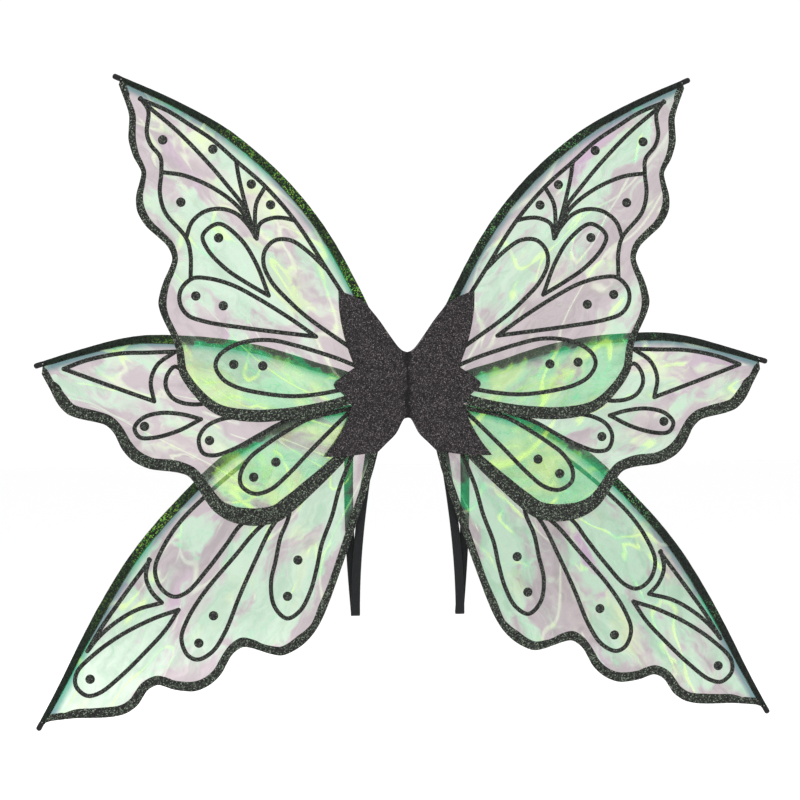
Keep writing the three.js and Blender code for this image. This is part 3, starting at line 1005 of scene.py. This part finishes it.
def back_cover_mesh(sign):
    low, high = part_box("right_back_cover")
    places, faces, edge, swell = cover_sheet(2.8 * MM, 24, 8 + sign)
    groove = np.exp(-(((edge - SEAM_INSET) / (1.1 * MM)) ** 2))
    back_y = high.y - (0.8 * rounded(edge, 2.2 * MM) + 0.35 * groove + 0.12 * swell) * MM
    front_y = low.y + 0.5 * rounded(edge, 2 * MM) * MM
    return slab(places, faces, front_y, back_y)


def turned_edge_mesh(points):
    """The strip of the front cover that turns back beside a notch to close the pocket there."""
    line = smooth_line(np.array(points) * MM, 1.5 * MM)
    across = sideways(line)
    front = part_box("right_front_cover")[0].y + 1 * MM
    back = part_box("right_back_cover")[0].y + 0.6 * MM
    shares = np.linspace(0, 1, 9)
    vertices = []
    for share in shares:
        out = (0.5 - 0.8 * math.sin(math.pi * share)) * MM
        ring = [*(line + across * out), *(line + across * (out + TURNED))[::-1]]
        vertices += [(x, front + (back - front) * share, z) for x, z in ring]
    return vertices, ring_faces(len(shares), 2 * len(line))


def stitches(line, level, long=2.6 * MM, gap=1.6 * MM, radius=0.28 * MM):
    """A row of thread stitches along a line on cloth whose back is at y = level."""
    vertices, faces = [], []
    steps = lengths(line)
    for start in np.arange(gap, steps[-1] - long, long + gap):
        at = np.linspace(start, start + long, 5)
        path = np.stack([np.interp(at, steps, line[:, i]) for i in (0, 1)], axis=1)
        rise = (-0.9, 0.35, 0.6, 0.35, -0.9)
        made, around = tube(path, [(ring_of(radius, 6), level + up * radius) for up in rise])
        faces += [tuple(i + len(vertices) for i in face) for face in around]
        vertices += made
    return vertices, faces


def seam_line():
    """The line of the stitches that join front and back, inside the cover's edge."""
    outline = cover_outline()
    line = outline[2:-2]
    return line - sideways(line) * SEAM_INSET * np.sign(signed_area(outline))


def bend_over_fold(made):
    """Moves the piece's placement into its mesh's points."""
    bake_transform(made)


TOP_NOTCH = [(0.2, 38.9), (4.2, 39.8), (11, 45.3), (16, 51.8), (21.5, 59.5)]
BOTTOM_NOTCH = [(21.5, -65.5), (15, -59.3), (7.5, -45.6), (4.2, -40.4), (0.2, -39.6)]


def add_cover(side, sign):
    front = piece(f"{side}_cover_front", front_cover_mesh(sign), sign, "cover")
    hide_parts(f"{side}_front_cover")
    back = piece(f"{side}_cover_back", back_cover_mesh(sign), sign, "felt")
    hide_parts(f"{side}_back_cover")
    parts = [front, back]
    for name, notch in (("top", TOP_NOTCH), ("bottom", BOTTOM_NOTCH)):
        edge = turned_edge_mesh(notch)
        parts.append(piece(f"{side}_{name}_turned_edge", edge, sign, "cover"))
    sewn = stitches(seam_line(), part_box("right_back_cover")[1].y - 0.35 * MM)
    parts.append(piece(f"{side}_cover_stitching", sewn, sign, "thread"))
    for made in parts:
        bend_over_fold(made)


# ---- spine, pad and straps
PAD_CHANNEL = 6 * MM  # from the pad's edge to its sewn channel


def rounded_rectangle(node, corner, spacing, inset=0.0):
    """The outline of a flat rectangular node, or a line inside it, with rounded corners."""
    low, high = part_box(node)
    outline = []
    for turn, x, z in (
        (0, high.x, high.z), (90, low.x, high.z), (180, low.x, low.z), (270, high.x, low.z),
    ):
        x += (inset + corner) * (1 if x == low.x else -1)
        z += (inset + corner) * (1 if z == low.z else -1)
        for angle in np.radians(np.arange(turn, turn + 91, 15)):
            outline.append((x + corner * math.cos(angle), z + corner * math.sin(angle)))
    return divided(np.array([*outline, outline[0]]), spacing)


def pad_mesh():
    low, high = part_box("back_pad")
    outline = rounded_rectangle("back_pad", 6 * MM, 1.5 * MM)
    places, faces = filled(outline, 1.8 * MM)
    edge = nearest(places, outline)
    channel = np.exp(-(((edge - PAD_CHANNEL) / (0.9 * MM)) ** 2))
    back_y = high.y - (1.7 * rounded(edge, 4 * MM) + 0.75 * channel) * MM
    front_y = low.y + 0.8 * rounded(edge, 2 * MM) * MM
    return slab(places, faces, front_y, back_y)


def plain_mesh(node, corner, fall):
    """A flat cloth piece in a node's own box, with rounded edges."""
    low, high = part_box(node)
    outline = rounded_rectangle(node, corner, 1.2 * MM)
    places, faces = filled(outline, 1.5 * MM)
    drop = fall * rounded(nearest(places, outline), 1.5 * MM)
    return slab(places, faces, low.y + drop, high.y - drop)


def tape_mesh():
    """The tape lies against the back of its box, clear of the cover's front."""
    places, faces = filled(rounded_rectangle("seam_tape", 2 * MM, 1.2 * MM), 1.5 * MM)
    front = np.full(len(places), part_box("seam_tape")[1].y - 0.38 * MM)
    return slab(places, faces, front, front + 0.3 * MM)


def stitched_ring(node, inset, corner, sunk, **stitch):
    """A closed row of stitches inside a node's edge, sunk this far into its back face."""
    line = rounded_rectangle(node, corner, 1 * MM, inset)
    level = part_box(node)[1].y - sunk
    return stitches(np.vstack([line, line[0]]), level, **stitch)


def add_spine():
    channel = stitched_ring("back_pad", PAD_CHANNEL, 4 * MM, 0.62 * MM)
    pad, sewn, tape, web = (
        piece(name, made, 1, look)
        for name, made, look in (
            ("back_cushion", pad_mesh(), "felt"),
            ("back_cushion_stitching", channel, "thread"),
            ("seam_strip", tape_mesh(), "tape"),
            ("spine_felt", plain_mesh("spine_web", 1.5 * MM, 0.8 * MM), "tape"),
        )
    )
    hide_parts("back_pad")
    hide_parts("seam_tape")
    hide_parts("spine_web")
    for made in (pad, sewn, tape, web):
        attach(made, "spine")


STRAP_TOP = 9 * MM  # how far each end of the elastic runs up under its patch
OUTER_BOW = 3.5 * MM  # how far the run behind bows outward
FRONT_LEAN = 1.5 * MM  # how far back the front run comes on its way down


def strap_line():
    """The elastic's middle line, from one sewn end down round the turn and up to the other."""
    low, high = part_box("right_strap")
    points = np.array([v.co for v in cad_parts["right_strap"].data.vertices])
    top = points[points[:, 2] > high.z - 1 * MM]
    inner = top[top[:, 0] < top[:, 0].mean()].mean(0)
    outer = top[top[:, 0] > top[:, 0].mean()].mean(0)
    end = points[points[:, 2] < low.z + 1.5 * MM].mean(0)
    turn = (high.y - 0.6 * MM - inner[1] - FRONT_LEAN) / 2
    bottom = low.z + 0.6 * MM + turn
    line = [(inner[0], inner[1], inner[2] + STRAP_TOP)]
    for share in np.linspace(0, 1, 40, endpoint=False):
        x = inner[0] + (end[0] - inner[0]) * math.sin(share * math.pi / 2)
        line.append((x, inner[1] + FRONT_LEAN * share, inner[2] + (bottom - inner[2]) * share))
    for angle in np.linspace(0, math.pi, 16, endpoint=False):
        y = inner[1] + FRONT_LEAN + turn * (1 - math.cos(angle))
        line.append((end[0], y, bottom - turn * math.sin(angle)))
    back_y = inner[1] + FRONT_LEAN + 2 * turn
    for share in np.linspace(1, 0, 41):
        x = outer[0] + (end[0] - outer[0]) * share + OUTER_BOW * math.sin(share * math.pi)
        line.append((x, outer[1] + (back_y - outer[1]) * share, outer[2] + (bottom - outer[2]) * share))
    line.append((outer[0], outer[1], outer[2] + STRAP_TOP))
    return np.array(line)


STRAP_SECTION = (  # across the band and through it, as shares of its half width and half thickness
    (-1, 0.35), (-0.94, 0.85), (-0.6, 1), (0, 1), (0.6, 1), (0.94, 0.85), (1, 0.35),
    (1, -0.35), (0.94, -0.85), (0.6, -1), (0, -1), (-0.6, -1), (-0.94, -0.85), (-1, -0.35),
)
STRAP_HALF = (5.5 * MM, 0.6 * MM)


def strap_mesh(line):
    vertices, uvs = [], []
    half_width, half_thickness = STRAP_HALF
    for (x, y, z), (_, dy, dz), far in zip(line, directions(line), lengths(line)):
        size = math.hypot(dy, dz)
        for across, through in STRAP_SECTION:
            depth = through * half_thickness
            vertices.append((x + across * half_width, y + dz / size * depth, z - dy / size * depth))
            uvs.append((0.5 + across / 2, far))
    faces = [tuple(reversed(face)) for face in ring_faces(len(line), len(STRAP_SECTION))]
    return (vertices, faces), uvs


def add_strap(side, sign):
    line = strap_line()
    mesh, uvs = strap_mesh(line)
    made = piece(f"{side}_elastic_loop", mesh, sign, "strap")
    layer = made.data.uv_layers.new(name="weave")
    for loop in made.data.loops:
        layer.data[loop.index].uv = uvs[loop.vertex_index]
    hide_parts(f"{side}_strap")
    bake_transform(made)
    cloth = plain_mesh("right_strap_patch", 1.5 * MM, 1 * MM)
    patch = piece(f"{side}_sewn_patch", cloth, sign, "felt")
    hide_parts(f"{side}_strap_patch")
    sewn = stitched_ring("right_strap_patch", 2 * MM, 1 * MM, -0.05 * MM, long=2 * MM, gap=1.1 * MM)
    thread = piece(f"{side}_patch_stitching", sewn, sign, "thread")
    for part in (patch, thread):
        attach(part, f"{side}_half")


# ---- putting it together
add_camera()
add_world()
add_floor()
for light in LIGHTS:
    add_light(*light)

wings = [read_wing(name) for name in WINGS]
FILM_TONES = {  # how much of each film looks pink, and the painted shade on the light it lets through (lower on the right-hand and lower wings)
    "left": {"upper": (0.03, 1.0), "middle": (0.12, 0.98), "lower": (0.02, 0.91)},
    "right": {"upper": (0.11, 0.91), "middle": (0.07, 0.90), "lower": (0.02, 0.74)},
}
for side, sign in SIDES:
    for i, name in enumerate(WINGS):
        shift = (0.31 * i * sign, 0, 0.17 * i + 0.4 * sign)
        LOOKS[f"{side}_{name}"] = film(
            f"{side}_{name}_film", sign * LIE[name], shift, *FILM_TONES[side][name],
        )
add_spine()
for side, sign in SIDES:
    add_cover(side, sign)
    add_strap(side, sign)
    for i, wing in enumerate(wings):
        beside = [other for k, other in enumerate(wings) if abs(i - k) == 1]
        add_wing(side, sign, wing, beside)
